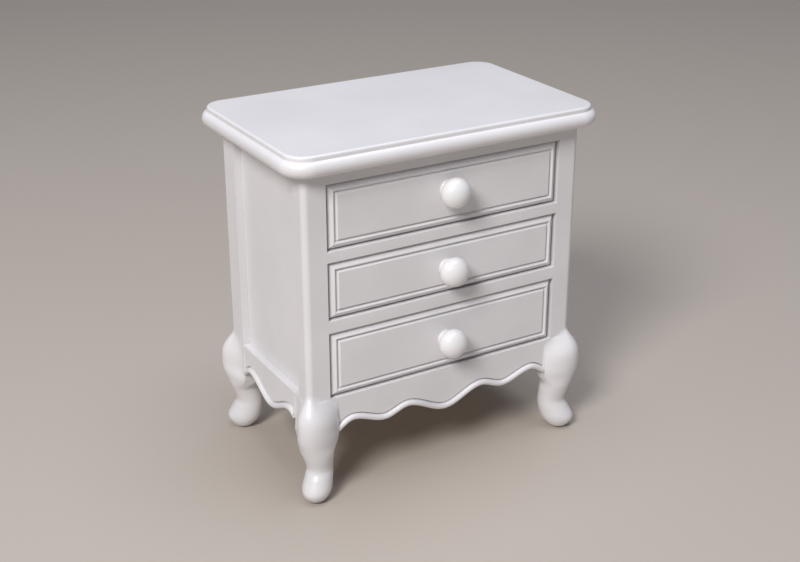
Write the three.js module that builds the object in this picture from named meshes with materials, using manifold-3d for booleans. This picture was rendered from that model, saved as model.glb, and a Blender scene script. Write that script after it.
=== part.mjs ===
// Miniature chest of three drawers on cabriole legs, for a dolls' house at 1:12.
// Millimetres, +Z up, front towards -Y, standing on z = 0.
import * as THREE from 'three';
import { mergeVertices } from 'three/addons/utils/BufferGeometryUtils.js';
import Module from 'manifold-3d';

const wasm = await Module();
wasm.setup();

// ---- driving dimensions -------------------------------------------------
const CASE_WIDTH = 50.14; // over the corner posts
const CASE_DEPTH = 29.0;
const CASE_TOP = 55.3; // underside of the top board
const POST_WIDTH = 3.87;
const FRONT_POST_DEPTH = 3.2;
const REAR_POST_DEPTH = 4.65;
const POST_ROUND = 1.0; // outer upright edge of each post

const TOP_THICKNESS = 3.3;
const TOP_HALF_WIDTH = 27.35; // upper tier, inside the edge moulding
const TOP_FRONT_OVERHANG = 2.1;
const TOP_REAR_OVERHANG = 2.7;
const TOP_CORNER = 3.45;
const TOP_EDGE_RADIUS = 1.3; // round nose under the upper tier
const TOP_EDGE_INSET = 0.45; // the nose's middle lies this far inside the tier's edge
const TOP_SOFTENING = 0.4; // quarter-round edge of the upper tier

const PANEL_RECESS = 1.25; // side panels behind the post faces
const PANEL_THICKNESS = 1.6;
const BACK_THICKNESS = 1.2;
const BACK_RECESS = 0.4;
const RAIL_DEPTH = 2.5;
const BOARD_THICKNESS = 1.2;
const APRON_THICKNESS = 2.0;
const APRON_TOP = 17.75;
const BEAD_RADIUS = 0.46; // moulding along the lower edge of the aprons
const GUIDE_HEIGHT = 2.0;

const EAR_REACH = 4.9; // from the outer corner to where the knee meets a side apron
const FRONT_EAR_REACH = 5.0; // and the front or rear apron
const KNEE_REACH = 4.6; // how far along each face the rounded knee itself runs
const EAR_PROUD = 0.45; // how far the knee stands out where it meets the aprons
const LEG_INSET = 0.4; // the leg stands this much in from the side face
const EAR_START = 8.0; // the leg spreads into its two ears between these levels
const EAR_FULL = 11.4;
const EAR_SLOPE = 0.1; // the top of each ear rises this much towards the post
const SIDE_FLUSH = 12.8; // at the side the knee runs flush into the apron from here up
const KNEE_FULL = 14.2; // the bulging knee fades into the square post above this
const KNEE_FADE = 5.0; // over this height at the corner
const KNEE_ROUNDNESS = 1.7; // above 1 it stays full for longer and then falls back faster
const KNEE_EARLIER = 2.0; // and ends this much lower at the ears

const DRAWER_SIDE_GAP = 0.42;
const DRAWER_GAP = 0.27; // above and below each front
const DRAWER_RUNNING_GAP = 0.1; // under the drawer sides
const DRAWER_FRONT_THICKNESS = 2.6;
const DRAWER_LENGTH = 26.6;
const DRAWER_WALL = 1.2;
const DRAWER_BOTTOM_THICKNESS = 0.8;
const DRAWER_BOTTOM_RAISE = 0.5;
const DRAWER_SIDE_DROP = 1.2; // drawer sides stop this far below the top of the front
const FRONT_CHAMFER_WIDTH = 0.72;
const FRONT_CHAMFER_DEPTH = 0.6;
const FRONT_CREST = 0.12;
const GROOVE_WIDTH = 0.63;
const GROOVE_DEPTH = 0.28;

const KNOB_RADIUS = 2.45;
const KNOB_HALF_DEPTH = 1.9;
const KNOB_STANDOFF = 2.35; // face of the drawer to the middle of the ball
const KNOB_NECK_RADIUS = 1.05;
const KNOB_COLLAR_RADIUS = 1.5;
const KNOB_COLLAR_THICKNESS = 0.3;
const PEG_RADIUS = 0.7;
const PEG_LENGTH = 2.0;
const PEG_CLEARANCE = 0.05;

// each drawer's opening between the rails, and its knob height
const DRAWERS = [
  { name: 'top', bottom: 42.5, top: 53.1, knob: 48.8 },
  { name: 'middle', bottom: 31.1, top: 40.6, knob: 35.6 },
  { name: 'bottom', bottom: APRON_TOP, top: 28.9, knob: 23.1 },
];

// cabriole leg at a few heights: reach outwards and inwards of the case corner
// along the diagonal, half width across it, and how far the section's middle
// stands off the diagonal towards the front or rear face
const EAR_HALF = (KNEE_REACH + EAR_PROUD) * Math.SQRT1_2;
const LEG_STATIONS = [
  { z: 0.0, out: 0.0, inn: -1.6, half: 0.85, slide: 0.25 },
  { z: 0.5, out: 1.05, inn: -2.6, half: 1.65, slide: 0.25 },
  { z: 2.0, out: 1.9, inn: -3.75, half: 2.35, slide: 0.3 },
  { z: 4.2, out: 0.95, inn: -4.4, half: 2.25, slide: 0.45 },
  { z: 5.5, out: 0.2, inn: -4.45, half: 2.13, slide: 0.5 },
  { z: 7.6, out: 0.8, inn: -4.3, half: 2.45, slide: 0.45 },
  { z: 9.4, out: 1.4, inn: -4.3, half: 2.95, slide: 0.25 },
  { z: EAR_FULL, out: 2.0, inn: -7.5, half: EAR_HALF, slide: 0 },
  { z: 13.3, out: 2.25, inn: -7.5, half: EAR_HALF, slide: 0 },
  { z: 16.0, out: 2.1, inn: -7.5, half: EAR_HALF, slide: 0 },
];

// ---- derived sizes ------------------------------------------------------
const HALF_CASE = CASE_WIDTH / 2;
const HALF_OPENING = HALF_CASE - POST_WIDTH;
const REAR_POST_FRONT = CASE_DEPTH - REAR_POST_DEPTH;
const PANEL_OUTER = HALF_CASE - PANEL_RECESS;
const PANEL_INNER = PANEL_OUTER - PANEL_THICKNESS;
const BACK_FRONT = CASE_DEPTH - BACK_RECESS - BACK_THICKNESS;
const TOP_EDGE_REACH = TOP_EDGE_RADIUS - TOP_EDGE_INSET;
const FRONTMOST = -(KNOB_STANDOFF + KNOB_HALF_DEPTH);
const REARMOST = CASE_DEPTH + TOP_REAR_OVERHANG + TOP_EDGE_REACH;
const [TOP_DRAWER, MIDDLE_DRAWER, BOTTOM_DRAWER] = DRAWERS;

// The case is drawn with its front face on y = 0; this group then centres the
// whole object, knobs and top included, over the origin.
const chest = new THREE.Group();
chest.position.y = -(FRONTMOST + REARMOST) / 2;

// ---- materials ----------------------------------------------------------
const paint = (color, roughness) => () =>
  new THREE.MeshStandardMaterial({ color, roughness, metalness: 0 });
const WHITE_PAINT = paint(0xe4e0dd, 0.32);
const GLOSS_PAINT = paint(0xeeebe8, 0.22);
const BARE_WOOD = paint(0xd9bd92, 0.7);

// ---- helpers ------------------------------------------------------------
function add(name, geometry, material) {
  const mesh = new THREE.Mesh(geometry, material());
  mesh.name = name;
  chest.add(mesh);
}

function block([x0, x1], [y0, y1], [z0, z1]) {
  const geometry = new THREE.BoxGeometry(x1 - x0, y1 - y0, z1 - z0);
  return geometry.translate((x0 + x1) / 2, (y0 + y1) / 2, (z0 + z1) / 2);
}

function toSolid(geometry) {
  const bare = geometry.clone();
  bare.deleteAttribute('normal');
  bare.deleteAttribute('uv');
  const merged = mergeVertices(bare, 1e-4);
  return new wasm.Manifold(new wasm.Mesh({
    numProp: 3,
    vertProperties: new Float32Array(merged.attributes.position.array),
    triVerts: new Uint32Array(merged.index.array),
  }));
}

function toGeometry(solid) {
  const { vertProperties, triVerts } = solid.getMesh();
  const geometry = new THREE.BufferGeometry();
  geometry.setAttribute('position', new THREE.BufferAttribute(vertProperties, 3));
  geometry.setIndex(new THREE.BufferAttribute(triVerts, 1));
  return geometry;
}

// A lathed form with its four quarters pulled apart into a rectangle with
// rounded corners. Each ring is {grow, level}: the outline's growth beyond
// halfX and halfY, and its height.
function rectangularLathe(rings, halfX, halfY, corner, perCorner) {
  const levels = [rings[0].level, ...rings.map((ring) => ring.level), rings.at(-1).level];
  const points = levels.map((level, i) =>
    new THREE.Vector2(i === 0 || i === levels.length - 1 ? 0 : 1, level));
  const segments = 4 * perCorner;
  const halfStep = Math.PI / segments;
  const geometry = new THREE.LatheGeometry(points, segments, halfStep).rotateX(Math.PI / 2);
  const position = geometry.attributes.position;
  for (let i = 0; i < position.count; i++) {
    const ring = rings[(i % points.length) - 1];
    if (!ring) continue; // the middle of each end stays on the axis
    const x = position.getX(i);
    const y = position.getY(i);
    const radius = Math.max(corner + ring.grow, 0);
    const straightX = halfX + ring.grow - radius;
    const straightY = halfY + ring.grow - radius;
    const toFlat = radius / Math.cos(halfStep);
    position.setX(i, Math.sign(x) * straightX + x * toFlat);
    position.setY(i, Math.sign(y) * straightY + y * toFlat);
  }
  return geometry;
}

// quarter turns of a moulding, from angle a to angle b about (grow, level)
function arcRings(grow, level, radius, a, b, steps) {
  return Array.from({ length: steps + 1 }, (_, i) => {
    const angle = a + ((b - a) * i) / steps;
    return { grow: grow + radius * Math.cos(angle), level: level + radius * Math.sin(angle) };
  });
}

// ---- top board ----------------------------------------------------------
function topBoard() {
  const quarter = Math.PI / 2;
  const meeting = Math.acos(TOP_EDGE_INSET / TOP_EDGE_RADIUS); // where the nose meets the tier
  const rings = [
    ...arcRings(-TOP_EDGE_INSET, TOP_EDGE_RADIUS, TOP_EDGE_RADIUS, -quarter, meeting, 8),
    ...arcRings(-TOP_SOFTENING, TOP_THICKNESS - TOP_SOFTENING, TOP_SOFTENING, 0, quarter, 4),
  ];
  const halfDepth = (TOP_FRONT_OVERHANG + CASE_DEPTH + TOP_REAR_OVERHANG) / 2;
  return rectangularLathe(rings, TOP_HALF_WIDTH, halfDepth, TOP_CORNER, 6)
    .translate(0, halfDepth - TOP_FRONT_OVERHANG, CASE_TOP);
}
add('top_board', topBoard(), WHITE_PAINT);

// ---- corner posts with their cabriole legs --------------------------------
// One closed form of rings, drawn for the corner whose post runs towards +X
// and +Y from the origin. Every ring has OUTER points round the outside, from
// the front ear to the side ear, and INNER points back round the inside.
const CORNER_STEPS = 2;
const INNER = 4 * CORNER_STEPS + 1;
const OUTER = 15;

const between = (a, b, t) => [a[0] + (b[0] - a[0]) * t, a[1] + (b[1] - a[1]) * t];
const smoothstep = (low, high, value) => THREE.MathUtils.smoothstep(value, low, high);
const fromDiagonal = (out, across) => [(across - out) * Math.SQRT1_2, (-across - out) * Math.SQRT1_2];

const legHeights = LEG_STATIONS.map((station) => station.z);
const legReaches = LEG_STATIONS.flatMap(({ out, inn, half, slide }) => [out, inn, half, slide]);
const legCurve = new THREE.CubicInterpolant(legHeights, legReaches, 4);
const EAR_MIDDLE = -(KNEE_REACH - EAR_PROUD) * Math.SQRT1_2;
const SIDE_FLUSH_SHARE = 0.85; // part of the side half of the section that flattens

// The bulging section at height z: u runs from -1 at the side ear through 0 at
// the outer corner to 1 at the front ear, and on to 2 round the inside.
function bulge(z, u) {
  const [out, inn, half, slide] = legCurve.evaluate(Math.min(z, legHeights.at(-1)));
  const spread = smoothstep(EAR_START, EAR_FULL, z);
  const middle = THREE.MathUtils.lerp((out + inn) / 2, EAR_MIDDLE, spread);
  const angle = (u * Math.PI) / 2;
  const reach = Math.abs(u) <= 1 ? out - middle : middle - inn;
  const along = middle + reach * Math.cos(angle);
  const [x, y] = fromDiagonal(along, slide + half * Math.sin(angle));
  const atSideEar = Math.max(1 - Math.abs(1 + u), 0) * smoothstep(EAR_START, EAR_FULL, z);
  const inset = LEG_INSET * (1 - atSideEar);
  const flush = smoothstep(EAR_START, SIDE_FLUSH, z) * smoothstep(1 - SIDE_FLUSH_SHARE, 1, -u);
  return [
    u < 0 && u >= -1 ? (x + inset) * (1 - flush) : x + inset,
    y + (EAR_REACH - KNEE_REACH) * atSideEar,
  ];
}

// The square post's section, with its round outer edge, ending at width and depth.
function postEdge(u, width, depth) {
  const roundShare = 0.4;
  const [along, reach] = u > 0 ? [u, width] : [-u, depth];
  if (along <= roundShare) {
    const angle = ((along / roundShare) * Math.PI) / 4;
    const near = POST_ROUND * (1 - Math.cos(Math.PI / 4 - angle));
    const far = POST_ROUND * (1 - Math.sin(Math.PI / 4 - angle));
    return u > 0 ? [far, near] : [near, far];
  }
  const t = POST_ROUND + ((reach - POST_ROUND) * (along - roundShare)) / (1 - roundShare);
  return u > 0 ? [t, 0] : [0, t];
}

// Points back round the inside: step 0 .. INNER-1 from the side to the front.
function earInside(step, postDepth) {
  const a = APRON_THICKNESS;
  const corners = [
    [a, EAR_REACH], [a, postDepth], [POST_WIDTH, postDepth], [POST_WIDTH, a], [FRONT_EAR_REACH, a],
  ];
  const from = Math.min(Math.floor(step / CORNER_STEPS), corners.length - 2);
  return between(corners[from], corners[from + 1], step / CORNER_STEPS - from);
}
function postInside(step, [sideX, depth], [width, frontY]) {
  const a = APRON_THICKNESS;
  const corners = [[sideX, depth], [a, depth], [width, depth], [width, a], [width, frontY]];
  const starts = [-1, CORNER_STEPS, 2 * CORNER_STEPS, 3 * CORNER_STEPS, INNER];
  const from = starts.findLastIndex((start) => start <= step);
  const along = (step - starts[from]) / (starts[from + 1] - starts[from]);
  return between(corners[from], corners[from + 1], along);
}

function legRing(z, withEars, postDepth) {
  const [width, depth] = withEars ? [FRONT_EAR_REACH, EAR_REACH] : [POST_WIDTH, postDepth];
  const outer = Array.from({ length: OUTER }, (_, i) => {
    const u = 1 - (2 * i) / (OUTER - 1);
    const top = KNEE_FULL + KNEE_FADE - KNEE_EARLIER * u * u;
    const proud = 1 - smoothstep(top - KNEE_FADE, top, z) ** KNEE_ROUNDNESS;
    const [x, y] = between(postEdge(u, width, depth), bulge(z, u), proud);
    return [Math.min(x, width), Math.min(y, depth)];
  });
  const inner = Array.from({ length: INNER }, (_, step) => {
    if (!withEars) return postInside(step, outer.at(-1), outer[0]);
    const round = bulge(z, -1 - (2 * (step + 1)) / (INNER + 1));
    return between(round, earInside(step, postDepth), smoothstep(EAR_START, EAR_FULL, z));
  });
  return [...outer, ...inner];
}

function spaced(from, to, count) {
  return Array.from({ length: count + 1 }, (_, i) => from + ((to - from) * i) / count);
}
// each ring's height, and whether it is drawn with the two ears
const FOOT_LEVELS = [0, 0.2, 0.5, 1.1];
const LEG_RINGS = [
  ...FOOT_LEVELS.map((z) => [z, true]),
  ...spaced(2.0, EAR_FULL, 8).map((z) => [z, true]),
  ...spaced(EAR_FULL + 1, APRON_TOP - EAR_SLOPE, 5).map((z) => [z, true]),
  ...spaced(APRON_TOP, KNEE_FULL + KNEE_FADE, 3).map((z) => [z, false]),
  [CASE_TOP, false],
];

function postWithLeg(postDepth) {
  const around = OUTER + INNER;
  const rings = LEG_RINGS.map(([z, withEars]) => legRing(z, withEars, postDepth));
  const geometry = new THREE.CylinderGeometry(1, 1, 1, around, rings.length - 1);
  const position = geometry.attributes.position;
  for (let i = 0; i < position.count; i++) {
    const [x, y, z] = [position.getX(i), position.getY(i), position.getZ(i)];
    const level = Math.round((y + 0.5) * (rings.length - 1));
    const turn = Math.round(around - (Math.atan2(x, z) / (2 * Math.PI)) * around) % around;
    const ring = rings[level];
    const middle = between(ring[0], ring[OUTER - 1], 0.5);
    const onAxis = Math.hypot(x, z) < 0.5;
    const [tx, ty] = onAxis ? between(ring[(OUTER - 1) / 2], middle, 0.5) : ring[turn];
    position.setXYZ(i, tx, ty, LEG_RINGS[level][0]);
  }
  return toSolid(geometry);
}

const FRONT_LEG = postWithLeg(FRONT_POST_DEPTH);
const REAR_LEG = postWithLeg(REAR_POST_DEPTH);
const CORNERS = [
  { name: 'front_left_leg', leg: FRONT_LEG, flip: [1, 1, 1], place: [-HALF_CASE, 0, 0] },
  { name: 'front_right_leg', leg: FRONT_LEG, flip: [-1, 1, 1], place: [HALF_CASE, 0, 0] },
  { name: 'rear_left_leg', leg: REAR_LEG, flip: [1, -1, 1], place: [-HALF_CASE, CASE_DEPTH, 0] },
  { name: 'rear_right_leg', leg: REAR_LEG, flip: [-1, -1, 1], place: [HALF_CASE, CASE_DEPTH, 0] },
];
for (const { name, leg, flip, place } of CORNERS) {
  add(name, toGeometry(leg.scale(flip).translate(place)), WHITE_PAINT);
}

// ---- aprons ---------------------------------------------------------------
// The bead's middle line along one apron, as distance from the apron's middle
// and height; drawn past the apron's end and trimmed there.
const FRONT_SCALLOPS = [[0, 10.65], [7.1, 13.05], [11.4, 11.85], [17.2, 13.4], [21.0, 11.3]];
const SIDE_SCALLOPS = [[0, 11.45], [7.4, 14.05], [11.5, 11.7]];
const SIDE_SCALLOP_SHIFT = 0.5; // the side wave's middle is this much nearer the front

function scallopCurve(half) {
  const mirrored = half.slice(1).reverse().map(([along, level]) => [-along, level]);
  const points = [...mirrored, ...half].map(([along, level]) => new THREE.Vector3(along, 0, level));
  return new THREE.CatmullRomCurve3(points, false, 'catmullrom', 0.5);
}

// A shaped apron with its face on y = 0, centred on x = 0, thickness towards +Y.
function beadedApron(scallops, halfLength, steps, shift = 0) {
  const curve = scallopCurve(scallops);
  const edge = curve.getPoints(steps);
  const outline = new THREE.Shape(edge.map((point) => new THREE.Vector2(point.x, point.z)));
  outline.lineTo(edge.at(-1).x, APRON_TOP);
  outline.lineTo(edge[0].x, APRON_TOP);
  const plate = new THREE.ExtrudeGeometry(outline, { depth: APRON_THICKNESS, bevelEnabled: false })
    .rotateX(Math.PI / 2)
    .translate(0, APRON_THICKNESS, 0);
  const section = new THREE.Shape().absarc(0, 0, BEAD_RADIUS, 0, 2 * Math.PI);
  const bead = new THREE.ExtrudeGeometry(section, {
    steps, curveSegments: 4, bevelEnabled: false, extrudePath: curve,
  });
  const extent = block([-halfLength, halfLength], [-CASE_DEPTH, CASE_DEPTH], [0, APRON_TOP]);
  return toSolid(plate).add(toSolid(bead)).translate([shift, 0, 0]).intersect(toSolid(extent));
}

const FRONT_APRON_HALF = HALF_CASE - FRONT_EAR_REACH;
const SIDE_APRON_HALF = CASE_DEPTH / 2 - EAR_REACH;
const frontApron = beadedApron(FRONT_SCALLOPS, FRONT_APRON_HALF, 60);
const leftApron = beadedApron(SIDE_SCALLOPS, SIDE_APRON_HALF, 30, SIDE_SCALLOP_SHIFT)
  .rotate([0, 0, -90])
  .translate([-HALF_CASE, CASE_DEPTH / 2, 0]);
add('front_apron', toGeometry(frontApron), WHITE_PAINT);
add('left_side_apron', toGeometry(leftApron), WHITE_PAINT);
add('right_side_apron', toGeometry(leftApron.scale([-1, 1, 1])), WHITE_PAINT);

// plain rear apron with one shallow arch
function rearApron() {
  const endLevel = 12.4;
  const archLevel = 14.4;
  const outline = new THREE.Shape();
  outline.moveTo(-FRONT_APRON_HALF, endLevel);
  outline.quadraticCurveTo(0, 2 * archLevel - endLevel, FRONT_APRON_HALF, endLevel);
  outline.lineTo(FRONT_APRON_HALF, APRON_TOP);
  outline.lineTo(-FRONT_APRON_HALF, APRON_TOP);
  return new THREE.ExtrudeGeometry(outline, {
    depth: APRON_THICKNESS, bevelEnabled: false, curveSegments: 12,
  }).rotateX(Math.PI / 2).translate(0, CASE_DEPTH, 0);
}
add('rear_apron', rearApron(), WHITE_PAINT);

// ---- panels, rails and boards ---------------------------------------------
const FULL_OPENING = [-HALF_OPENING, HALF_OPENING];
const BETWEEN_POSTS = [FRONT_POST_DEPTH, REAR_POST_FRONT];

add('left_side_panel',
  block([-PANEL_OUTER, -PANEL_INNER], BETWEEN_POSTS, [APRON_TOP, CASE_TOP]), WHITE_PAINT);
add('right_side_panel',
  block([PANEL_INNER, PANEL_OUTER], BETWEEN_POSTS, [APRON_TOP, CASE_TOP]), WHITE_PAINT);
add('back_panel',
  block(FULL_OPENING, [BACK_FRONT, BACK_FRONT + BACK_THICKNESS], [APRON_TOP, CASE_TOP]),
  WHITE_PAINT);

const RAILS = [
  { name: 'top_rail', levels: [TOP_DRAWER.top, CASE_TOP] },
  { name: 'upper_drawer_rail', levels: [MIDDLE_DRAWER.top, TOP_DRAWER.bottom] },
  { name: 'lower_drawer_rail', levels: [BOTTOM_DRAWER.top, MIDDLE_DRAWER.bottom] },
];
for (const { name, levels } of RAILS) {
  add(name, block(FULL_OPENING, [0, RAIL_DEPTH], levels), WHITE_PAINT);
}

// A board notched round the four posts, its upper face at topLevel.
function notchedBoard(front, rear, reach, topLevel) {
  const half = [
    [HALF_OPENING, front], [HALF_OPENING, FRONT_POST_DEPTH], [reach, FRONT_POST_DEPTH],
    [reach, REAR_POST_FRONT], [HALF_OPENING, REAR_POST_FRONT], [HALF_OPENING, rear],
  ];
  const mirrored = half.map(([x, y]) => [-x, y]).reverse();
  const outline = new THREE.Shape([...half, ...mirrored].map(([x, y]) => new THREE.Vector2(x, y)));
  return new THREE.ExtrudeGeometry(outline, { depth: BOARD_THICKNESS, bevelEnabled: false })
    .translate(0, 0, topLevel - BOARD_THICKNESS);
}
const dustBoard = (topLevel) => notchedBoard(RAIL_DEPTH, BACK_FRONT, PANEL_INNER, topLevel);
const bottomBoard = notchedBoard(
  APRON_THICKNESS, CASE_DEPTH - APRON_THICKNESS, HALF_CASE - APRON_THICKNESS, APRON_TOP,
);
add('upper_dust_board', dustBoard(TOP_DRAWER.bottom), BARE_WOOD);
add('lower_dust_board', dustBoard(MIDDLE_DRAWER.bottom), BARE_WOOD);
add('bottom_board', bottomBoard, BARE_WOOD);

// ---- drawers ----------------------------------------------------------------
function drawerFront({ bottom, top, knob }) {
  const grooveIn = FRONT_CHAMFER_WIDTH + FRONT_CREST;
  const rings = [
    { grow: 0, level: 0 },
    { grow: 0, level: DRAWER_FRONT_THICKNESS - FRONT_CHAMFER_DEPTH },
    { grow: -FRONT_CHAMFER_WIDTH, level: DRAWER_FRONT_THICKNESS },
    { grow: -grooveIn, level: DRAWER_FRONT_THICKNESS },
    { grow: -grooveIn - GROOVE_WIDTH / 2, level: DRAWER_FRONT_THICKNESS - GROOVE_DEPTH },
    { grow: -grooveIn - GROOVE_WIDTH, level: DRAWER_FRONT_THICKNESS },
  ];
  const middle = (bottom + top) / 2;
  const board = rectangularLathe(
    rings, HALF_OPENING - DRAWER_SIDE_GAP, (top - bottom) / 2 - DRAWER_GAP, 0, 1,
  ).rotateX(Math.PI / 2).translate(0, DRAWER_FRONT_THICKNESS, middle);
  const hole = new THREE.CylinderGeometry(
    PEG_RADIUS + PEG_CLEARANCE, PEG_RADIUS + PEG_CLEARANCE, 3 * DRAWER_FRONT_THICKNESS, 16,
  ).translate(0, 0, knob);
  return toSolid(board).subtract(toSolid(hole));
}

function knobShape(knob) {
  const back = KNOB_STANDOFF - KNOB_COLLAR_THICKNESS;
  const neckAngle = Math.asin(KNOB_NECK_RADIUS / KNOB_RADIUS);
  const ballSteps = 9;
  const ball = spaced(neckAngle, Math.PI, ballSteps).map((angle, i) => {
    const radius = i === ballSteps ? 0 : KNOB_RADIUS * Math.sin(angle);
    return [radius, -KNOB_HALF_DEPTH * Math.cos(angle)];
  });
  const profile = [
    [0, -KNOB_STANDOFF - PEG_LENGTH],
    [PEG_RADIUS, -KNOB_STANDOFF - PEG_LENGTH],
    [PEG_RADIUS, -KNOB_STANDOFF],
    [KNOB_COLLAR_RADIUS, -KNOB_STANDOFF],
    [KNOB_COLLAR_RADIUS - KNOB_COLLAR_THICKNESS, -back],
    ...ball,
  ].map(([radius, along]) => new THREE.Vector2(radius, along));
  return new THREE.LatheGeometry(profile, 24)
    .rotateX(Math.PI)
    .translate(0, -KNOB_STANDOFF, knob);
}

for (const drawer of DRAWERS) {
  const { name, bottom, top, knob } = drawer;
  const outer = HALF_OPENING - DRAWER_SIDE_GAP;
  const inner = outer - DRAWER_WALL;
  const low = bottom + DRAWER_RUNNING_GAP;
  const high = top - DRAWER_GAP - DRAWER_SIDE_DROP;
  const bottomLow = low + DRAWER_BOTTOM_RAISE;
  const backFace = DRAWER_LENGTH - DRAWER_WALL;
  const sideRun = [DRAWER_FRONT_THICKNESS, DRAWER_LENGTH];
  const bottomRun = [DRAWER_FRONT_THICKNESS, backFace];
  const walls = [low, high];
  const floor = [bottomLow, bottomLow + DRAWER_BOTTOM_THICKNESS];

  add(`${name}_drawer_front`, toGeometry(drawerFront(drawer)), WHITE_PAINT);
  add(`${name}_drawer_left_side`, block([-outer, -inner], sideRun, walls), BARE_WOOD);
  add(`${name}_drawer_right_side`, block([inner, outer], sideRun, walls), BARE_WOOD);
  add(`${name}_drawer_back`, block([-inner, inner], [backFace, DRAWER_LENGTH], walls), BARE_WOOD);
  add(`${name}_drawer_bottom`, block([-inner, inner], bottomRun, floor), BARE_WOOD);
  add(`${name}_drawer_knob`, knobShape(knob), GLOSS_PAINT);

  // strips glued inside the side panels that keep the drawer running straight
  const strip = [bottom, bottom + GUIDE_HEIGHT];
  add(`${name}_left_guide`,
    block([-PANEL_INNER, -HALF_OPENING], BETWEEN_POSTS, strip), BARE_WOOD);
  add(`${name}_right_guide`,
    block([HALF_OPENING, PANEL_INNER], BETWEEN_POSTS, strip), BARE_WOOD);
}

export default chest;
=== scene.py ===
# %% [markdown]
# # A miniature chest of drawers on cabriole legs
# The chest is dolls' house furniture at 1:12, about as tall as a matchbox is long. A fixed frame
# gives every part's place, and this lesson makes the fine surfaces around it: the moulded top,
# the carved legs, the beaded aprons, the drawers and their knobs, and the painted finish.

# %% Load the frame
import math

import bmesh
import bpy
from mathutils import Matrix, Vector


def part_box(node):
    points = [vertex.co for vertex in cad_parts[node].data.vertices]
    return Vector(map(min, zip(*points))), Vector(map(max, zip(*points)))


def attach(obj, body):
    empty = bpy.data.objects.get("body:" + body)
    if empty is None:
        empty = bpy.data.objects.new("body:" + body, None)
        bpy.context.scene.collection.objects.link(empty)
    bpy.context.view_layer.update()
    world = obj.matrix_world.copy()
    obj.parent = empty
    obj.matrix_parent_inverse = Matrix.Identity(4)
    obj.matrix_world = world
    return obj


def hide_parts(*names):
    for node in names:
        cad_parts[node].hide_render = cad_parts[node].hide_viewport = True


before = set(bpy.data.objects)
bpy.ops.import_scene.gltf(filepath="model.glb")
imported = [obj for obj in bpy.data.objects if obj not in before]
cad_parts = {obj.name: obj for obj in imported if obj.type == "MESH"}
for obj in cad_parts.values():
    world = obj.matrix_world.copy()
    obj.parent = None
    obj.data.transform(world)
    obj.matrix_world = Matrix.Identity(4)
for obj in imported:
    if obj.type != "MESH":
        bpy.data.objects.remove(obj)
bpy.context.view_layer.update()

MM = 0.001
print("parts in the frame:", len(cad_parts))

# %% [markdown]
# ## Small helpers
# Furniture is drawn in millimetres, while Blender and the frame use metres, so every mesh is
# drawn in millimetres and scaled once when it is finished. The finishing helper also closes
# seams, turns faces outwards, and keeps true corners sharp while curved faces shade smoothly. The
# weighted normals let the large flat faces stay flat right up to their eased edges.

# %% Helpers for sizes and finished pieces
CREASE = math.radians(38)
MERGE_DISTANCE = 0.0005


def corners_of(node):
    """Lowest and highest corner of a part of the frame, in millimetres."""
    low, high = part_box(node)
    return Vector(low) / MM, Vector(high) / MM


def finish_piece(name, bm, material, body, stands_for):
    """Makes an object of a mesh in millimetres, hangs it on its body and hides the part it stands
    for.
    """
    bmesh.ops.remove_doubles(bm, verts=bm.verts, dist=MERGE_DISTANCE)
    bmesh.ops.recalc_face_normals(bm, faces=bm.faces)
    bmesh.ops.scale(bm, vec=(MM, MM, MM), verts=bm.verts)
    mesh = bpy.data.meshes.new(name)
    bm.to_mesh(mesh)
    bm.free()
    mesh.shade_smooth()
    mesh.set_sharp_from_angle(angle=CREASE)
    mesh.materials.append(material)
    piece = bpy.data.objects.new(name, mesh)
    bpy.context.scene.collection.objects.link(piece)
    flats_first = piece.modifiers.new("flats_first", "WEIGHTED_NORMAL")
    flats_first.mode = "FACE_AREA"
    flats_first.keep_sharp = True
    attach(piece, body)
    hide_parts(stands_for)
    print(f"{name}: {len(mesh.polygons)} faces")


def box_between(low, high):
    """A block between two opposite corners."""
    bm = bmesh.new()
    bmesh.ops.create_cube(bm, size=1.0)
    bmesh.ops.scale(bm, vec=high - low, verts=bm.verts)
    bmesh.ops.translate(bm, vec=(low + high) / 2, verts=bm.verts)
    return bm


def soften(bm, edges, radius, segments):
    """Rounds the given edges off to a radius."""
    bmesh.ops.bevel(bm, geom=list(edges), offset=radius, offset_type="OFFSET", segments=segments,
                    profile=0.5, affect="EDGES", material=-1, clamp_overlap=True)


def loft(rings):
    """A closed form through rings of points: each ring is extruded from the one before it."""
    bm = bmesh.new()
    place = bm.verts.layers.int.new("place")
    verts = [bm.verts.new(point) for point in rings[0]]
    for number, vert in enumerate(verts):
        vert[place] = number
    edges = [bm.edges.new((verts[i - 1], verts[i])) for i in range(len(verts))]
    ends = [edges]
    for ring in rings[1:]:
        grown = bmesh.ops.extrude_edge_only(bm, edges=edges)["geom"]
        edges = [item for item in grown if isinstance(item, bmesh.types.BMEdge)]
        for vert in (item for item in grown if isinstance(item, bmesh.types.BMVert)):
            vert.co = ring[vert[place]]
    ends.append(edges)
    for end in ends:
        bmesh.ops.contextual_create(bm, geom=end)
    return bm


print("edges that turn by more than", round(math.degrees(CREASE)), "degrees stay sharp")

# %% Helpers for smooth curves
def ease(t):
    """A smooth step from 0 to 1, level at both ends."""
    t = min(max(t, 0.0), 1.0)
    return t * t * (3 - 2 * t)


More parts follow.
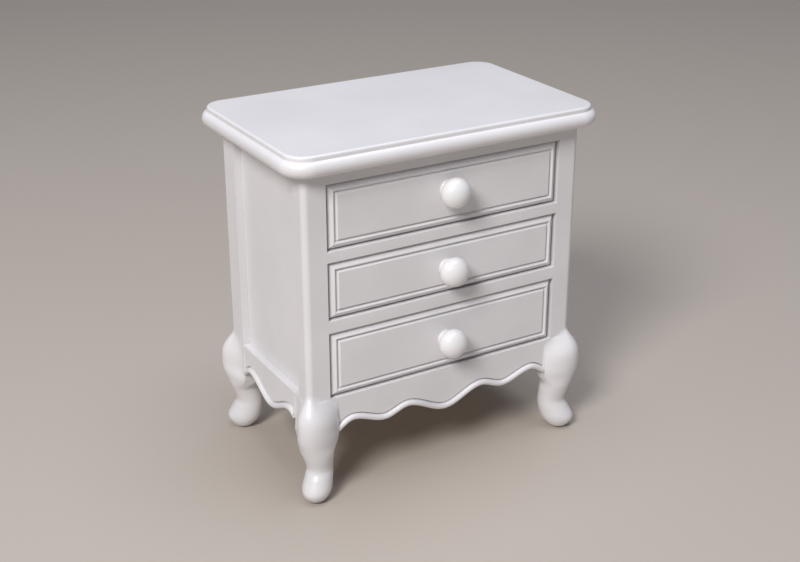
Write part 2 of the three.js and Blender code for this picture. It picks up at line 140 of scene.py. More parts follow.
def smooth_between(stations, at):
    """A smooth curve through (place, value, value, ...) stations, read at one place."""
    stations = sorted(stations)
    at = min(max(at, stations[0][0]), stations[-1][0])
    i = max(k for k in range(len(stations) - 1) if stations[k][0] <= at)
    nearby = [min(max(k, 0), len(stations) - 1) for k in range(i - 1, i + 3)]
    before, low, high, after = (stations[k] for k in nearby)
    span = high[0] - low[0]
    t = (at - low[0]) / span
    values = []
    for a, b, c, d in list(zip(before, low, high, after))[1:]:
        leave = (c - a) / (high[0] - before[0]) * span
        arrive = (d - b) / (after[0] - low[0]) * span
        values.append((2 * t**3 - 3 * t**2 + 1) * b + (t**3 - 2 * t**2 + t) * leave
                      + (3 * t**2 - 2 * t**3) * c + (t**3 - t**2) * arrive)
    return values


def levels(start, end, step):
    """Evenly spaced places from start to end, about one step apart."""
    count = max(1, round((end - start) / step))
    return [start + (end - start) * i / count for i in range(count + 1)]


print("a curve through 0, 1 and 4 at one half:", smooth_between([(0, 0), (1, 1), (2, 4)], 0.5))

# %% [markdown]
# ## White paint
# The whole outside is sprayed with a satin off-white enamel over close-grained wood. Up close such
# a coat is not perfectly flat: it has a fine orange-peel texture, the ghost of the grain under it,
# and slight drifts of tone where it went on thicker. A noise for the peel, a stretched noise for
# the grain and a large soft noise for the tone give all three.

# %% Helpers for materials
def linear(hex_colour):
    """An sRGB hex colour as the linear colour that Blender works in."""
    parts = [int(hex_colour[i:i + 2], 16) / 255 for i in (1, 3, 5)]
    return [c / 12.92 if c <= 0.04045 else ((c + 0.055) / 1.055) ** 2.4 for c in parts] + [1.0]


def new_material(name):
    """An empty material and its node tree."""
    material = bpy.data.materials.new(name)
    material.use_nodes = True
    tree = material.node_tree
    tree.nodes.clear()
    return material, tree


def node(tree, kind, settings=None, links=None, inputs=None):
    """Adds a node, sets its properties and sockets, and links its inputs."""
    made = tree.nodes.new(kind)
    for key, value in (settings or {}).items():
        setattr(made, key, value)
    for key, value in (inputs or {}).items():
        made.inputs[key].default_value = value
    for key, source in (links or {}).items():
        tree.links.new(source, made.inputs[key])
    return made


def colour_ramp(tree, factor, stops):
    """A ColorRamp through (position, hex colour) stops."""
    ramp = node(tree, "ShaderNodeValToRGB", links={"Fac": factor})
    elements = ramp.color_ramp.elements
    for position, colour in stops[1:-1]:
        elements.new(position)
    for element, (position, colour) in zip(elements, stops):
        element.position = position
        element.color = linear(colour)
    return ramp.outputs["Color"]


def repeats_every(size):
    """The Scale of a pattern on Object coordinates, in metres, whose blobs are this many mm apart."""
    return 1 / (size * MM)


def stretched_along(tree, place, grain_axis, shrink):
    """Coordinates squeezed along the grain, so that a round noise turns into long fibres."""
    squeeze = [1.0, 1.0, 1.0]
    squeeze[grain_axis] = shrink
    mapping = node(tree, "ShaderNodeMapping", inputs={"Scale": squeeze}, links={"Vector": place})
    return mapping.outputs["Vector"]


print("middle grey as a linear colour:", linear("#808080"))

# %% The enamel
# Millimetres. The spray coat drifts in tone over about a centimetre, its orange peel has dimples
# of 0.7 mm and 0.01 mm high, and the grain that ghosts through has pores 0.45 mm wide and 7.5 mm
# long. Real basswood pores are nearer 0.1 mm and would not show, so they are drawn coarser.
TONE_DRIFT = 11.0
PEEL_DIMPLE = 0.7
PEEL_HEIGHT = 0.01
ENAMEL_GRAIN_WIDTH = 0.45
ENAMEL_GRAIN_LENGTH = 7.5
# Satin enamel is white pigment in a clear binder. The pigment gives an even white with a broad
# soft highlight, and the skin of binder over it adds a little gloss. The knobs are dipped, which
# leaves a thicker, glossier and slightly lighter coat with a shallower peel.
ENAMEL_IOR = 1.5
ENAMEL_COAT = 0.4
ENAMEL_COAT_ROUGHNESS = 0.3
PAINT_LIGHT = "#E1DEDF"
PAINT_DARK = "#DCD9DA"
PAINT_ROUGHNESS = 0.32
PAINT_PEEL = 0.5
KNOB_LIGHT = "#E8E6E6"
KNOB_DARK = "#E3E1E1"
KNOB_ROUGHNESS = 0.2
KNOB_PEEL = 0.25
# The grain also makes the gloss uneven, by this much less and this much more roughness.
LESS_ROUGH = 0.04
MORE_ROUGH = 0.05


def enamel(name, light, dark, roughness, peel_depth, grain_axis):
    """Sprayed enamel over wood whose grain runs along grain_axis (0, 1 or 2)."""
    material, tree = new_material(name)
    place = node(tree, "ShaderNodeTexCoord").outputs["Object"]
    tone = node(tree, "ShaderNodeTexNoise", links={"Vector": place},
                inputs={"Scale": repeats_every(TONE_DRIFT), "Detail": 3.0, "Roughness": 0.5})
    colour = colour_ramp(tree, tone.outputs["Fac"], [(0.35, dark), (0.65, light)])
    along = stretched_along(tree, place, grain_axis, ENAMEL_GRAIN_WIDTH / ENAMEL_GRAIN_LENGTH)
    grain = node(tree, "ShaderNodeTexNoise", links={"Vector": along},
                 inputs={"Scale": repeats_every(ENAMEL_GRAIN_WIDTH), "Detail": 4.0, "Roughness": 0.6})
    peel = node(tree, "ShaderNodeTexNoise", links={"Vector": place},
                inputs={"Scale": repeats_every(PEEL_DIMPLE), "Detail": 1.0, "Roughness": 0.4})
    relief = node(tree, "ShaderNodeMath", {"operation": "ADD"},
                  {0: grain.outputs["Fac"], 1: peel.outputs["Fac"]})
    bump = node(tree, "ShaderNodeBump", inputs={"Strength": peel_depth, "Distance": PEEL_HEIGHT * MM},
                links={"Height": relief.outputs[0]})
    rough = node(tree, "ShaderNodeMapRange", links={"Value": grain.outputs["Fac"]},
                 inputs={"To Min": roughness - LESS_ROUGH, "To Max": roughness + MORE_ROUGH})
    shader = node(tree, "ShaderNodeBsdfPrincipled",
                  inputs={"IOR": ENAMEL_IOR, "Coat Weight": ENAMEL_COAT,
                          "Coat Roughness": ENAMEL_COAT_ROUGHNESS},
                  links={"Base Color": colour, "Roughness": rough.outputs["Result"],
                         "Normal": bump.outputs["Normal"]})
    node(tree, "ShaderNodeOutputMaterial", links={"Surface": shader.outputs["BSDF"]})
    return material


ALONG_X, ALONG_Y, ALONG_Z = range(3)
satin = (PAINT_LIGHT, PAINT_DARK, PAINT_ROUGHNESS, PAINT_PEEL)
paint_x = enamel("satin_enamel_grain_along_x", *satin, ALONG_X)
paint_y = enamel("satin_enamel_grain_along_y", *satin, ALONG_Y)
paint_z = enamel("satin_enamel_grain_along_z", *satin, ALONG_Z)
knob_enamel = enamel("gloss_enamel_on_turned_wood", KNOB_LIGHT, KNOB_DARK, KNOB_ROUGHNESS,
                     KNOB_PEEL, ALONG_Y)
print("materials:", [m.name for m in (paint_x, paint_y, paint_z, knob_enamel)])

# %% [markdown]
# ## Bare basswood
# Drawer boxes and the boards inside are left unpainted. Basswood is pale and even, with faint
# growth rings and short fine pores, so two stretched noises carry the rings and the fibres.

# %% The bare wood
# Millimetres. Growth rings of basswood are 2 to 3 mm apart and run on for several centimetres. Its
# fibres are far finer than the 0.26 mm drawn here, which is as fine as still shows.
RING_SPACING = 2.4
FIBRE_WIDTH = 0.26
RING_STRETCH = 14.0
FIBRE_HEIGHT = 0.03
FIBRE_TONE = 0.12
WOOD_ROUGHNESS = 0.62
WOOD_IOR = 1.45
WOOD_TONES = [(0.3, "#C9A878"), (0.5, "#DCC096"), (0.7, "#E6D0AC")]


def basswood(name, grain_axis):
    """Bare sanded basswood whose grain runs along grain_axis."""
    material, tree = new_material(name)
    place = node(tree, "ShaderNodeTexCoord").outputs["Object"]
    along = stretched_along(tree, place, grain_axis, 1 / RING_STRETCH)
    rings = node(tree, "ShaderNodeTexNoise", links={"Vector": along},
                 inputs={"Scale": repeats_every(RING_SPACING), "Detail": 3.0, "Distortion": 0.6})
    fibres = node(tree, "ShaderNodeTexNoise", links={"Vector": along},
                  inputs={"Scale": repeats_every(FIBRE_WIDTH), "Detail": 4.0, "Roughness": 0.7})
    mixed = node(tree, "ShaderNodeMapRange", links={"Value": fibres.outputs["Fac"]},
                 inputs={"To Min": -FIBRE_TONE, "To Max": FIBRE_TONE})
    total = node(tree, "ShaderNodeMath", {"operation": "ADD"},
                 {0: rings.outputs["Fac"], 1: mixed.outputs["Result"]})
    colour = colour_ramp(tree, total.outputs[0], WOOD_TONES)
    bump = node(tree, "ShaderNodeBump", inputs={"Strength": 0.5, "Distance": FIBRE_HEIGHT * MM},
                links={"Height": fibres.outputs["Fac"]})
    shader = node(tree, "ShaderNodeBsdfPrincipled",
                  inputs={"Roughness": WOOD_ROUGHNESS, "IOR": WOOD_IOR},
                  links={"Base Color": colour, "Normal": bump.outputs["Normal"]})
    node(tree, "ShaderNodeOutputMaterial", links={"Surface": shader.outputs["BSDF"]})
    return material


wood_x = basswood("bare_basswood_grain_along_x", ALONG_X)
wood_y = basswood("bare_basswood_grain_along_y", ALONG_Y)
print("materials:", wood_x.name, wood_y.name)

# %% [markdown]
# ## The top board
# The top is one board with a round nose and a flat tier standing just above it, as two router
# passes would leave it. Here a rectangle gets round corners, is raised to the nose's thickness, and
# both of its outlines are bevelled by half that thickness, which leaves a true half round. The crown
# of that round is then planed off where the tier stands, and the cut is extruded to the full height.

# %% Model the top board
TOP_NOSE_RADIUS = 1.3
TOP_NOSE_INSET = 0.45
TOP_TIER_CORNER = 3.45
TOP_ARRIS = 0.4
# A bevel of exactly half the thickness would leave faces of no width between its two rounds.
NEARLY_HALF = 0.998
LEVEL_TOLERANCE = 1e-4
TIER_FOOT = TOP_NOSE_RADIUS + math.sqrt(TOP_NOSE_RADIUS**2 - TOP_NOSE_INSET**2)


def top_board():
    """The top in one piece: a rounded board, planed off where its flat tier starts."""
    low, high = corners_of("top_board")
    bm = bmesh.new()
    bmesh.ops.create_grid(bm, x_segments=1, y_segments=1, size=0.5)
    bmesh.ops.scale(bm, vec=(high.x - low.x, high.y - low.y, 1), verts=bm.verts)
    middle = (low + high) / 2
    bmesh.ops.translate(bm, vec=(middle.x, middle.y, low.z), verts=bm.verts)
    outer_corner = TOP_TIER_CORNER + TOP_NOSE_RADIUS - TOP_NOSE_INSET
    bmesh.ops.bevel(bm, geom=bm.verts[:], offset=outer_corner, offset_type="OFFSET", segments=20,
                    profile=0.5, affect="VERTICES", material=-1)
    raised = bmesh.ops.extrude_face_region(bm, geom=bm.faces[:])["geom"]
    upper = [item for item in raised if isinstance(item, bmesh.types.BMVert)]
    bmesh.ops.translate(bm, vec=(0, 0, 2 * TOP_NOSE_RADIUS), verts=upper)
    flat = [edge for edge in bm.edges
            if abs(edge.verts[0].co.z - edge.verts[1].co.z) < LEVEL_TOLERANCE]
    soften(bm, flat, TOP_NOSE_RADIUS * NEARLY_HALF, segments=12)
    planed = bmesh.ops.bisect_plane(bm, geom=bm.verts[:] + bm.edges[:] + bm.faces[:],
                                    plane_co=(0, 0, low.z + TIER_FOOT), plane_no=(0, 0, 1),
                                    clear_outer=True)
    rim = [item for item in planed["geom_cut"] if isinstance(item, bmesh.types.BMEdge)]
    face = bmesh.ops.contextual_create(bm, geom=rim)["faces"][0]
    tier = bmesh.ops.extrude_face_region(bm, geom=[face])["geom"]
    bmesh.ops.delete(bm, geom=[face], context="FACES_ONLY")
    tier_verts = [item for item in tier if isinstance(item, bmesh.types.BMVert)]
    bmesh.ops.translate(bm, vec=(0, 0, high.z - low.z - TIER_FOOT), verts=tier_verts)
    surface = max(bm.faces, key=lambda f: (round(f.calc_center_median().z, 4), f.calc_area()))
    soften(bm, surface.edges, TOP_ARRIS, segments=6)
    return bm


finish_piece("moulded_top", top_board(), paint_x, "case", "top_board")

# %% [markdown]
# ## Posts with cabriole legs
# Each corner post and its leg are carved from one stick: a square post with a soft outer edge, a
# knee that swells on the diagonal and spreads into two small ears, a slim ankle and a ball foot.
# A carved form like this has no straight run, so it is lofted: rings of points, each extruded from
# the one below and moved to the section at that height.

# %% Sizes of the posts and aprons
# All sizes are millimetres, measured from the outer corner of the case and up from the floor.
POST_WIDTH = 3.87
FRONT_POST_DEPTH = 3.2
REAR_POST_DEPTH = 4.65
# The outer edge of a post is rounded, and its quarter circle takes this share of each side's points.
POST_ROUND = 1.0
ROUND_SHARE = 0.4
APRON_THICKNESS = 2.0
APRON_TOP = 17.75
print("posts:", POST_WIDTH, "by", FRONT_POST_DEPTH, "in front and", REAR_POST_DEPTH, "behind")

# %% Sizes of the legs
# How far the ears and the knee reach along the aprons, how far the ears stand in front of them,
# and how far the whole leg stands in from the side of the case.
EAR_REACH = 4.9
FRONT_EAR_REACH = 5.0
KNEE_REACH = 4.6
EAR_PROUD = 0.45
LEG_INSET = 0.4
# Heights at which the ears start to spread and have spread fully, and the height by which the
# knee is flush with the side of the case, over the share of the section nearest the ear.
EAR_START = 8.0
EAR_FULL = 11.4
SIDE_FLUSH = 12.8
SIDE_FLUSH_SHARE = 0.85
# The ears are cut off flat at the aprons' top, within this height.
EAR_SLOPE = 0.1
# The knee is full up to KNEE_FULL and then fades into the post, a little earlier at the ears than
# on the corner. A higher roundness keeps it full for longer and ends it more abruptly.
KNEE_FULL = 14.2
KNEE_FADE = 5.0
KNEE_EARLIER = 2.0
KNEE_ROUNDNESS = 1.7
KNEE_INSIDE = -7.5

EAR_HALF = (KNEE_REACH + EAR_PROUD) * math.sqrt(0.5)
EAR_MIDDLE = -(KNEE_REACH - EAR_PROUD) * math.sqrt(0.5)
# Sections from the sole to the knee: height, how far the section reaches outwards and inwards on
# the diagonal, its half width across the diagonal, and how far its middle stands off it.
LEG_STATIONS = [
    (0.0, 0.0, -1.6, 0.85, 0.25),
    (0.5, 1.05, -2.6, 1.65, 0.25),
    (2.0, 1.9, -3.75, 2.35, 0.3),
    (4.2, 0.95, -4.4, 2.25, 0.45),
    (5.5, 0.2, -4.45, 2.13, 0.5),
    (7.6, 0.8, -4.3, 2.45, 0.45),
    (9.4, 1.4, -4.3, 2.95, 0.25),
    (EAR_FULL, 2.0, KNEE_INSIDE, EAR_HALF, 0),
    (13.3, 2.25, KNEE_INSIDE, EAR_HALF, 0),
    (16.0, 2.1, KNEE_INSIDE, EAR_HALF, 0),
]
print("leg sections:", len(LEG_STATIONS), "from the floor up to", LEG_STATIONS[-1][0], "mm")

# %% The outside of a section
def mix(a, b, t):
    """The point that lies at share t of the way from a to b."""
    return (a[0] + (b[0] - a[0]) * t, a[1] + (b[1] - a[1]) * t)


def bulge(z, u):
    """A point of the swelling section at height z.

    u is 1 at the front ear, 0 at the corner, -1 at the side ear, and runs on to -3 round the inside.
    """
    out, inn, half, slide = smooth_between(LEG_STATIONS, z)
    eared = ease((z - EAR_START) / (EAR_FULL - EAR_START))
    middle = (out + inn) / 2 * (1 - eared) + EAR_MIDDLE * eared
    reach = out - middle if abs(u) <= 1 else middle - inn
    along = middle + reach * math.cos(u * math.pi / 2)
    across = slide + half * math.sin(u * math.pi / 2)
    at_side_ear = max(1 - abs(1 + u), 0) * eared
    x = (across - along) * math.sqrt(0.5) + LEG_INSET * (1 - at_side_ear)
    y = (-across - along) * math.sqrt(0.5) + (EAR_REACH - KNEE_REACH) * at_side_ear
    if -1 <= u < 0:
        raised = ease((z - EAR_START) / (SIDE_FLUSH - EAR_START))
        x *= 1 - raised * ease((-u - 1 + SIDE_FLUSH_SHARE) / SIDE_FLUSH_SHARE)
    return (x, y)


def post_edge(u, width, depth):
    """A point of the square post's outside, whose round edge takes ROUND_SHARE of u."""
    along, reach = (u, width) if u > 0 else (-u, depth)
    if along <= ROUND_SHARE:
        angle = math.pi / 4 * (1 - along / ROUND_SHARE)
        near = POST_ROUND * (1 - math.cos(angle))
        far = POST_ROUND * (1 - math.sin(angle))
    else:
        near = 0.0
        flat_share = (along - ROUND_SHARE) / (1 - ROUND_SHARE)
        far = POST_ROUND + (reach - POST_ROUND) * flat_share
    return (far, near) if u > 0 else (near, far)


print("the foot's foremost point:", bulge(LEG_STATIONS[2][0], 0))

# %% The inside of a section
OUTER_POINTS = 61
PER_CORNER = 6
INNER_POINTS = 4 * PER_CORNER + 1


def ear_inside(step, post_depth):
    """A point of the notched inside, between the side ear and the front ear."""
    a = APRON_THICKNESS
    corners = [(a, EAR_REACH), (a, post_depth), (POST_WIDTH, post_depth), (POST_WIDTH, a),
               (FRONT_EAR_REACH, a)]
    first = min(step // PER_CORNER, len(corners) - 2)
    return mix(corners[first], corners[first + 1], step / PER_CORNER - first)


def post_inside(step, side_end, front_end):
    """The same point above the aprons, where the section is the square post's."""
    (side_x, depth), (width, front_y) = side_end, front_end
    a = APRON_THICKNESS
    corners = [(side_x, depth), (a, depth), (width, depth), (width, a), (width, front_y)]
    starts = [-1, PER_CORNER, 2 * PER_CORNER, 3 * PER_CORNER, INNER_POINTS]
    first = max(k for k in range(4) if starts[k] <= step)
    along = (step - starts[first]) / (starts[first + 1] - starts[first])
    return mix(corners[first], corners[first + 1], along)


def leg_ring(z, with_ears, post_depth):
    """One closed ring of points at height z."""
    width, depth = (FRONT_EAR_REACH, EAR_REACH) if with_ears else (POST_WIDTH, post_depth)
    outer = []
    for i in range(OUTER_POINTS):
        u = 1 - 2 * i / (OUTER_POINTS - 1)
        top = KNEE_FULL + KNEE_FADE - KNEE_EARLIER * u * u
        proud = 1 - ease((z - top + KNEE_FADE) / KNEE_FADE) ** KNEE_ROUNDNESS
        x, y = mix(post_edge(u, width, depth), bulge(z, u), proud)
        outer.append((min(x, width), min(y, depth)))
    inner = []
    for step in range(INNER_POINTS):
        if with_ears:
            rounded = bulge(z, -1 - 2 * (step + 1) / (INNER_POINTS + 1))
            spread = ease((z - EAR_START) / (EAR_FULL - EAR_START))
            inner.append(mix(rounded, ear_inside(step, post_depth), spread))
        else:
            inner.append(post_inside(step, outer[-1], outer[0]))
    return [Vector((x, y, z)) for x, y in outer + inner]


print("points on one ring:", len(leg_ring(0, True, FRONT_POST_DEPTH)))

# %% Loft and place the four legs
# The sole's edge turns up sharply, so its first rings are close together.
SOLE_LEVELS = [0, 0.08, 0.2]
FINE_STEP = 0.2
RING_STEP = 0.24
FOOT_TOP = 2.0


def cabriole(case_top, post_depth):
    """A whole stick, from the sole of its foot to the underside of the top."""
    foot = SOLE_LEVELS + levels(2 * FINE_STEP, FOOT_TOP, FINE_STEP)
    shank = levels(FOOT_TOP + FINE_STEP, EAR_FULL, RING_STEP)
    knee = levels(EAR_FULL + RING_STEP, APRON_TOP - EAR_SLOPE, RING_STEP)
    fade = levels(APRON_TOP, KNEE_FULL + KNEE_FADE, FINE_STEP)
    rings = [leg_ring(z, True, post_depth) for z in foot + shank + knee]
    rings += [leg_ring(z, False, post_depth) for z in fade + [case_top]]
    return loft(rings)


rail_low, rail_high = corners_of("top_rail")
HALF_CASE = rail_high.x + POST_WIDTH
CASE_FRONT = rail_low.y
CASE_BACK = corners_of("rear_apron")[1].y
CASE_TOP = rail_high.z

for side, sign_x in (("left", 1), ("right", -1)):
    for end, sign_y, face_y, post_depth in (("front", 1, CASE_FRONT, FRONT_POST_DEPTH),
                                            ("rear", -1, CASE_BACK, REAR_POST_DEPTH)):
        bm = cabriole(CASE_TOP, post_depth)
        bmesh.ops.scale(bm, vec=(sign_x, sign_y, 1), verts=bm.verts)
        bmesh.ops.translate(bm, vec=(-sign_x * HALF_CASE, face_y, 0), verts=bm.verts)
        finish_piece(f"{end}_{side}_post_and_leg", bm, paint_z, "case",
                     f"{end}_{side}_leg")

# %% [markdown]
# ## Scalloped aprons with a bead
# The aprons close the case below the drawers. Their lower edge waves between the legs, and a fine
# half-round bead follows it, parted from the flat face by a small groove. A moulding that follows
# a curve is a section carried along a path, so the whole apron is one section, lofted along the
# wave, with its top edge kept level.

# %% The section of an apron and its wave
# Millimetres. The groove above the bead is called a quirk. The bead is drawn through points that
# start at BEAD_FIRST degrees above its front and go down round it in steps of BEAD_TURN degrees.
BEAD_RADIUS = 0.46
QUIRK_DEPTH = 0.45
QUIRK_GAP = 0.06
QUIRK_FLOOR = 0.08
BEAD_POINTS = 13
BEAD_FIRST = 62
BEAD_TURN = 19.5
APRON_EDGE = 0.1
# Distance from the middle and height of each crest and hollow of the bead's middle line.
FRONT_WAVE = [(0, 10.65), (7.1, 13.05), (11.4, 11.85), (17.2, 13.4), (22.5, 10.8)]
SIDE_WAVE = [(0, 11.45), (7.4, 14.05), (12.8, 11.0)]
SIDE_WAVE_SHIFT = 0.5


def wave_height(wave, x):
    """Height of the bead's middle line at distance x from the middle of its wave."""
    x = abs(x)
    for (x0, z0), (x1, z1) in zip(wave, wave[1:]):
        if x <= x1:
            return z0 + (z1 - z0) * ease((x - x0) / (x1 - x0))
    return wave[-1][1]


def apron_section():
    """(rise above the bead's middle line, depth behind the face) round one section.

    It runs from the face over an eased edge into the groove, round the bead, and back underneath.
    """
    quirk = BEAD_RADIUS + QUIRK_GAP
    section = [(quirk + 0.28, 0), (quirk + 0.18, 0.05)]
    section += [(quirk + QUIRK_FLOOR, QUIRK_DEPTH), (quirk, QUIRK_DEPTH)]
    for i in range(BEAD_POINTS):
        angle = math.radians(BEAD_FIRST - BEAD_TURN * i)
        section.append((BEAD_RADIUS * math.sin(angle), -BEAD_RADIUS * math.cos(angle)))
    section += [(-0.3, APRON_THICKNESS - 0.2), (-0.1, APRON_THICKNESS)]
    return section


print("points round an apron's moulded part:", len(apron_section()))

# %% Model the front and side aprons
SECTION_STEP = 0.22
SLOPE_REACH = 0.01


def beaded_apron(wave, start, end, top, shift=0):
    """An apron lofted from start to end, whose wave has its middle at shift.

    Where the wave slopes, the section leans past the ends, so both ends are cut square again.
    """
    rings = []
    for x in levels(start, end, SECTION_STEP):
        at = x - shift
        height = wave_height(wave, at)
        rise = wave_height(wave, at + SLOPE_REACH) - wave_height(wave, at - SLOPE_REACH)
        tilt = math.atan(rise / (2 * SLOPE_REACH))
        ring = [Vector((x, APRON_THICKNESS, top)), Vector((x, APRON_EDGE, top)),
                Vector((x, 0, top - APRON_EDGE))]
        for above, depth in apron_section():
            lean = -above * math.sin(tilt)
            ring.append(Vector((x + lean, depth, height + above * math.cos(tilt))))
        rings.append(ring)
    bm = loft(rings)
    for limit, outwards in ((start, -1), (end, 1)):
        cut = bmesh.ops.bisect_plane(bm, geom=bm.verts[:] + bm.edges[:] + bm.faces[:],
                                     plane_co=(limit, 0, 0), plane_no=(outwards, 0, 0),
                                     clear_outer=True)
        rim = [e for e in cut["geom_cut"] if isinstance(e, bmesh.types.BMEdge) and e.is_boundary]
        if rim:
            bmesh.ops.contextual_create(bm, geom=rim)
    return bm


FRONT_HALF = HALF_CASE - FRONT_EAR_REACH
front_apron = beaded_apron(FRONT_WAVE, -FRONT_HALF, FRONT_HALF, APRON_TOP)
bmesh.ops.translate(front_apron, vec=(0, CASE_FRONT, 0), verts=front_apron.verts)
finish_piece("scalloped_front_apron", front_apron, paint_x, "case", "front_apron")

CASE_MIDDLE = (CASE_FRONT + CASE_BACK) / 2
SIDE_HALF = (CASE_BACK - CASE_FRONT) / 2 - EAR_REACH
for side, sign in (("left", -1), ("right", 1)):
    bm = beaded_apron(SIDE_WAVE, -SIDE_HALF, SIDE_HALF, APRON_TOP, SIDE_WAVE_SHIFT)
    for vert in bm.verts:
        along, behind, z = vert.co
        vert.co = Vector((sign * (HALF_CASE - behind), CASE_MIDDLE - along, z))
    finish_piece(f"scalloped_{side}_apron", bm, paint_y, "case",
                 f"{side}_side_apron")

# %% [markdown]
# ## Rails and panels
# These are straight boards. Paint builds up on a sawn edge and rounds it, so every board gets a
# small bevel, which also gives its edges the thin highlight that a painted edge shows.

# %% Model the straight boards
# Each part, then the name of its piece, its paint and the radius of its eased edges in millimetres.
BOARDS = {
    "top_rail": ("rail_over_the_drawers", paint_x, 0.12),
    "upper_drawer_rail": ("upper_rail_between_drawers", paint_x, 0.16),
    "lower_drawer_rail": ("lower_rail_between_drawers", paint_x, 0.16),
    "left_side_panel": ("left_inset_panel", paint_z, 0.1),
    "right_side_panel": ("right_inset_panel", paint_z, 0.1),
    "back_panel": ("inset_back_panel", paint_z, 0.1),
    "rear_apron": ("plain_rear_apron", paint_x, 0.15),
}


def runs_along(edge, axis):
    """Whether an edge runs along one axis."""
    direction = (edge.verts[1].co - edge.verts[0].co).normalized()
    return abs(direction[axis]) > 0.9


def softened_copy(part, radius, only_along=None):
    """A part's mesh with eased edges: all of them, or only those that run along one axis."""
    bm = bmesh.new()
    bm.from_mesh(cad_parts[part].data)
    bmesh.ops.scale(bm, vec=(1 / MM, 1 / MM, 1 / MM), verts=bm.verts)
    bmesh.ops.remove_doubles(bm, verts=bm.verts, dist=MERGE_DISTANCE)
    bmesh.ops.dissolve_limit(bm, angle_limit=math.radians(1), verts=bm.verts, edges=bm.edges)
    sharp = [e for e in bm.edges if len(e.link_faces) == 2 and e.calc_face_angle() > CREASE]
    if only_along is not None:
        sharp = [e for e in sharp if runs_along(e, only_along)]
    soften(bm, sharp, radius, segments=2)
    return bm


for part, (name, material, radius) in BOARDS.items():
    only_along = ALONG_X if part.endswith("rail") else None
    board = softened_copy(part, radius, only_along)
    finish_piece(name, board, material, "case", part)

# %% [markdown]
# ## Drawer fronts
# Each front has a chamfered border, a fine V-groove inside it and a flat field. The border is cut
# by insetting the front face and pushing it out, and the groove by two more insets, one in and
# one out.

# %% Model the drawer fronts
CHAMFER_WIDTH = 0.72
CHAMFER_DEPTH = 0.6
CREST = 0.12
GROOVE_WIDTH = 0.63
GROOVE_DEPTH = 0.4
FRONT_CREASE = math.radians(20)
FRONT_ARRIS = 0.05
# How far in and how far out each step of the border goes.
BORDER_STEPS = [
    (CHAMFER_WIDTH, CHAMFER_DEPTH),
    (CREST, 0),
    (GROOVE_WIDTH / 2, -GROOVE_DEPTH),
    (GROOVE_WIDTH / 2, GROOVE_DEPTH),
]


def drawer_front(part):
    """A drawer front with its border, cut into the front face of a plain block."""
    low, high = corners_of(part)
    blank_low = Vector((low.x, low.y + CHAMFER_DEPTH, low.z))
    bm = box_between(blank_low, high)
    face = min(bm.faces, key=lambda f: f.calc_center_median().y)
    for thickness, depth in BORDER_STEPS:
        bmesh.ops.inset_region(bm, faces=[face], thickness=thickness, depth=depth,
                               use_even_offset=True)
    sharp = [e for e in bm.edges if e.calc_face_angle() > FRONT_CREASE]
    soften(bm, sharp, FRONT_ARRIS, segments=2)
    return bm


for drawer in ("top", "middle", "bottom"):
    part = f"{drawer}_drawer_front"
    finish_piece(f"{drawer}_panelled_front", drawer_front(part), paint_x,
                 f"{drawer}_drawer", part)

# %% [markdown]
# ## Knobs
# The knobs are turned: a slightly flattened ball on a short neck and collar. A turned shape is a
# profile spun round its axis, so the half outline is drawn once and spun a full turn.

# %% Model a knob
KNOB_RADIUS = 2.45
KNOB_HALF_DEPTH = 1.9
KNOB_STANDOFF = 2.35
NECK_RADIUS = 1.05
COLLAR_RADIUS = 1.5
COLLAR_THICKNESS = 0.3
PEG_RADIUS = 0.7
COLLAR_BACK_EASE = 0.08
COLLAR_FRONT_EASE = 0.12
COLLAR_FRONT_DEPTH = 0.1
BALL_STEPS = 24
TURN_STEPS = 64


def knob(part):
    """A knob with its peg, spun round the middle of its part's box."""
    low, high = corners_of(part)
    centre_x, centre_z = (low.x + high.x) / 2, (low.z + high.z) / 2
    peg_end = high.y - CASE_FRONT
    outline = [(0, peg_end), (PEG_RADIUS, peg_end), (PEG_RADIUS, 0)]
    outline += [(COLLAR_RADIUS - COLLAR_BACK_EASE, 0), (COLLAR_RADIUS, -COLLAR_BACK_EASE)]
    outline += [(COLLAR_RADIUS, -COLLAR_THICKNESS + COLLAR_FRONT_DEPTH),
                (COLLAR_RADIUS - COLLAR_FRONT_EASE, -COLLAR_THICKNESS)]
    start = math.asin(NECK_RADIUS / KNOB_RADIUS)
    for i in range(BALL_STEPS + 1):
        angle = start + (math.pi - start) * i / BALL_STEPS
        radius = KNOB_RADIUS * math.sin(angle) if i < BALL_STEPS else 0
        outline.append((radius, -KNOB_STANDOFF + KNOB_HALF_DEPTH * math.cos(angle)))
    bm = bmesh.new()
    verts = [bm.verts.new((centre_x + r, CASE_FRONT + y, centre_z)) for r, y in outline]
    edges = [bm.edges.new(pair) for pair in zip(verts, verts[1:])]
    bmesh.ops.spin(bm, geom=verts + edges, cent=(centre_x, 0, centre_z), axis=(0, 1, 0),
                   angle=math.tau, steps=TURN_STEPS, use_merge=True)
    return bm


for drawer in ("top", "middle", "bottom"):
    part = f"{drawer}_drawer_knob"
    finish_piece(f"{drawer}_turned_knob", knob(part), knob_enamel,
                 f"{drawer}_drawer", part)

# %% [markdown]
# ## Drawer boxes and inner boards
# The boxes and boards are plain thin basswood. Their shapes in the frame are right as they are
# apart from the edges, which are eased a little with sandpaper.

# %% Model the bare wood pieces
SANDED_EDGE = 0.08


def give_material(part, material):
    """Puts a material on a part that stays as it is."""
    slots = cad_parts[part].data.materials
    slots.clear()
    slots.append(material)
    print(f"{part}: {material.name}")


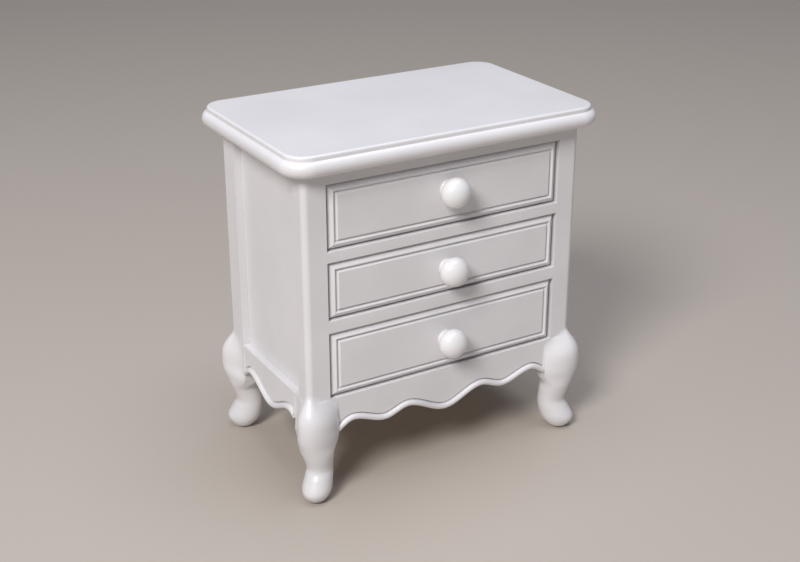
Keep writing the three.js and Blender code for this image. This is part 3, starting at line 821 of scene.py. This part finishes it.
for drawer in ("top", "middle", "bottom"):
    for side in ("left_side", "right_side", "back", "bottom"):
        part = f"{drawer}_drawer_{side}"
        grain = wood_y if side.endswith("side") else wood_x
        finish_piece(f"{part}_board", softened_copy(part, SANDED_EDGE), grain,
                     f"{drawer}_drawer", part)
    for side in ("left", "right"):
        give_material(f"{drawer}_{side}_guide", wood_y)
for part in ("upper_dust_board", "lower_dust_board", "bottom_board"):
    give_material(part, wood_x)

# %% [markdown]
# ## Floor, light and camera
# A pale floor, a fairly small soft key light high on the left, which throws the knobs' shadows to
# the right, a wide cool light overhead for the top board, and a dim pale world that fills the rest.
# The camera stands 21 cm away with a short telephoto lens, as close as such a small piece is held.

# %% The floor and the world
FLOOR_HALF = 1.5
FLOOR_COLOUR = "#B4AAA0"
FLOOR_ROUGHNESS = 0.6
WORLD_COLOUR = "#E6ECF8"
WORLD_STRENGTH = 0.22

floor_mesh = bpy.data.meshes.new("floor")
bm = bmesh.new()
bmesh.ops.create_grid(bm, x_segments=1, y_segments=1, size=FLOOR_HALF)
bm.to_mesh(floor_mesh)
bm.free()
floor = bpy.data.objects.new("floor", floor_mesh)
bpy.context.scene.collection.objects.link(floor)
floor_material, floor_tree = new_material("pale_matt_floor")
floor_shader = node(floor_tree, "ShaderNodeBsdfPrincipled",
                    inputs={"Base Color": linear(FLOOR_COLOUR),
                            "Roughness": FLOOR_ROUGHNESS})
node(floor_tree, "ShaderNodeOutputMaterial", links={"Surface": floor_shader.outputs["BSDF"]})
floor_mesh.materials.append(floor_material)

world = bpy.data.worlds.new("soft_studio")
world.use_nodes = True
background = world.node_tree.nodes["Background"]
background.inputs["Color"].default_value = linear(WORLD_COLOUR)
background.inputs["Strength"].default_value = WORLD_STRENGTH
bpy.context.scene.world = world
print("floor:", 2 * FLOOR_HALF, "m wide, world strength:", WORLD_STRENGTH)

# %% The lights
TARGET = Vector((0, 0, 0.03))
LIGHT_DISTANCE = 0.6
KEY_DIRECTION = Vector((-0.62, -0.44, 0.65))
KEY_SIZE = 0.2
KEY_POWER = 3.0
KEY_COLOUR = "#FFFFFF"
OVERHEAD_DIRECTION = Vector((0.1, -0.05, 0.99))
OVERHEAD_SIZE = 0.5
OVERHEAD_POWER = 2.0
OVERHEAD_COLOUR = "#F2F5FF"


def area_light(name, direction, size, power, colour):
    """A round soft light at LIGHT_DISTANCE along a direction, turned towards the chest."""
    data = bpy.data.lights.new(name, "AREA")
    data.shape = "DISK"
    data.size = size
    data.energy = power
    data.color = linear(colour)[:3]
    light = bpy.data.objects.new(name, data)
    light.location = TARGET + LIGHT_DISTANCE * direction
    light.rotation_euler = (TARGET - light.location).to_track_quat("-Z", "Y").to_euler()
    bpy.context.scene.collection.objects.link(light)
    print(f"{name}: {size} m across, {power} W")


area_light("key", KEY_DIRECTION, KEY_SIZE, KEY_POWER, KEY_COLOUR)
area_light("overhead", OVERHEAD_DIRECTION, OVERHEAD_SIZE, OVERHEAD_POWER, OVERHEAD_COLOUR)
bpy.context.scene.view_settings.view_transform = "Standard"

# %% The camera
LENS = 60.14
SENSOR_WIDTH = 36.0
NEAREST_SEEN = 0.01
AZIMUTH = math.radians(-30.5)
ELEVATION = math.radians(23.71)
DISTANCE = 0.2079
LOOK_AT = Vector((-0.0086, CASE_FRONT * MM, 0.0351))
away = Vector((math.sin(AZIMUTH) * math.cos(ELEVATION), -math.cos(AZIMUTH) * math.cos(ELEVATION),
               math.sin(ELEVATION)))
camera_data = bpy.data.cameras.new("camera")
camera_data.lens = LENS
camera_data.sensor_width = SENSOR_WIDTH
camera_data.clip_start = NEAREST_SEEN
camera = bpy.data.objects.new("camera", camera_data)
camera.location = LOOK_AT + away * DISTANCE
camera.rotation_euler = (-away).to_track_quat("-Z", "Y").to_euler()
bpy.context.scene.collection.objects.link(camera)
bpy.context.scene.camera = camera
print("camera at", tuple(round(value, 4) for value in camera.location))
